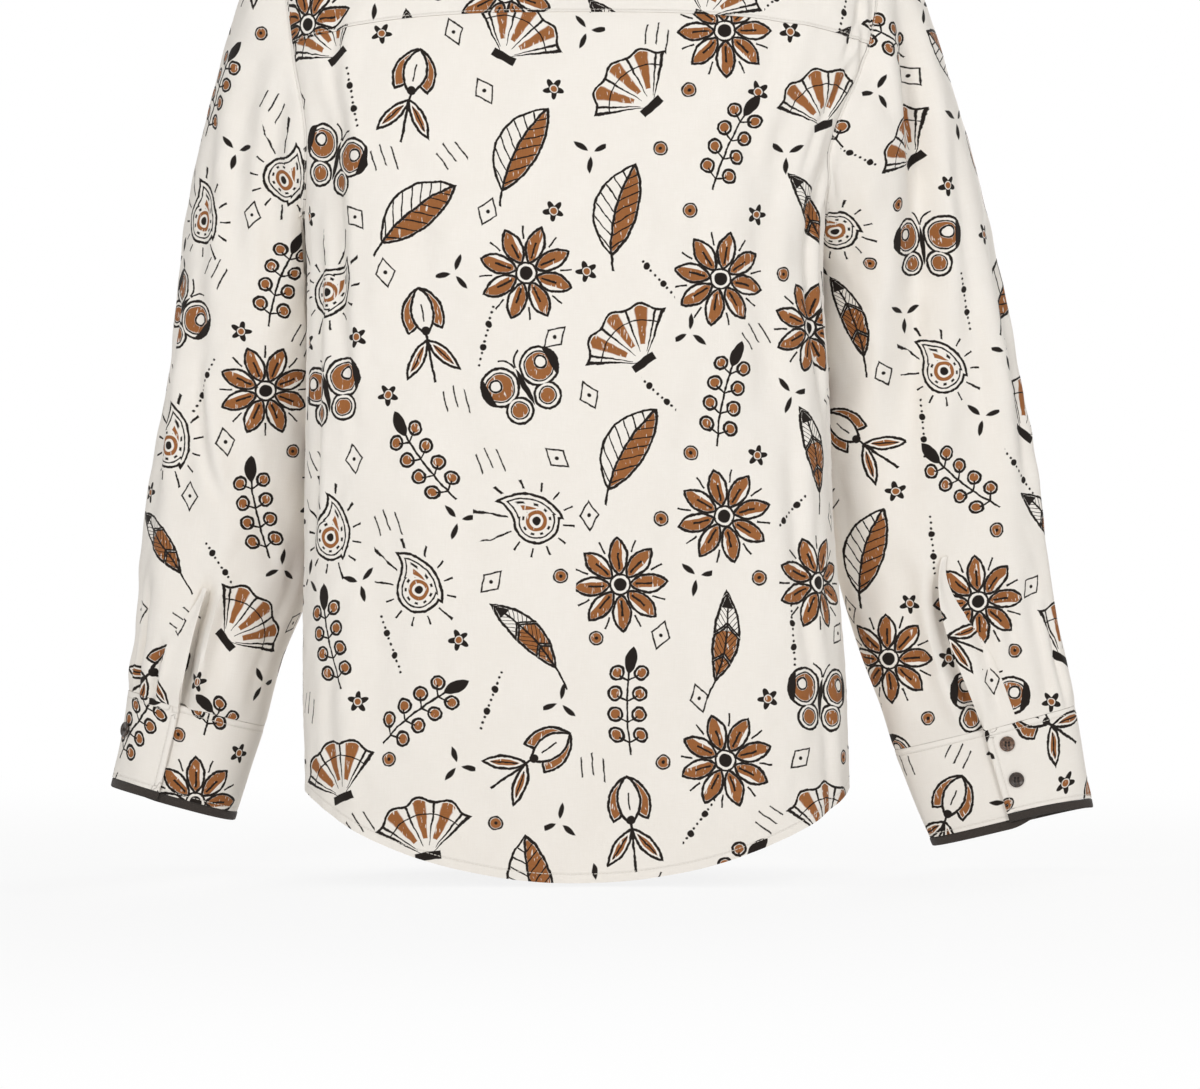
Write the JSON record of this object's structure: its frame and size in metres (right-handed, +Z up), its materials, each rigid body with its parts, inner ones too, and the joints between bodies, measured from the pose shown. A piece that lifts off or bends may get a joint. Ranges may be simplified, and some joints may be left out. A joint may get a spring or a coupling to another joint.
{
  "type": "long-sleeved button-through shirt",
  "caption": "Long-sleeved woven shirt with a back yoke, shirt-tail hem, pointed collar and trimmed cuffs, filled out as if worn.",
  "frame": {"origin": "middle of the neck opening, level with the points where the shoulders meet the neck, which is where the wearer's shoulders hold the garment up", "axes": "+Z up, -Y towards the front, +X towards the wearer's left"},
  "size_m": [0.7415, 0.2265, 0.7895],
  "materials": {
    "printed_cloth": "soft matt woven cloth with a printed pattern",
    "dark_trim": "matt woven binding",
    "dark_button": "satin"
  },
  "bodies": {
    "root": {"back": "printed_cloth", "back_yoke": "printed_cloth", "front_left": "printed_cloth", "front_right": "printed_cloth", "front_band": "printed_cloth", "collar_stand": "printed_cloth", "collar_leaf": "printed_cloth", "sleeve_left": "printed_cloth", "sleeve_right": "printed_cloth", "sleeve_placket_left": "printed_cloth", "sleeve_placket_right": "printed_cloth", "cuff_left": "printed_cloth", "cuff_right": "printed_cloth", "cuff_trim_left": "dark_trim", "cuff_trim_right": "dark_trim", "front_button_1": "dark_button", "front_button_2": "dark_button", "front_button_3": "dark_button", "front_button_4": "dark_button", "front_button_5": "dark_button", "front_button_6": "dark_button", "collar_button": "dark_button", "cuff_button_left_1": "dark_button", "cuff_button_right_1": "dark_button", "cuff_button_right_2": "dark_button"}
  },
  "joints": []
}
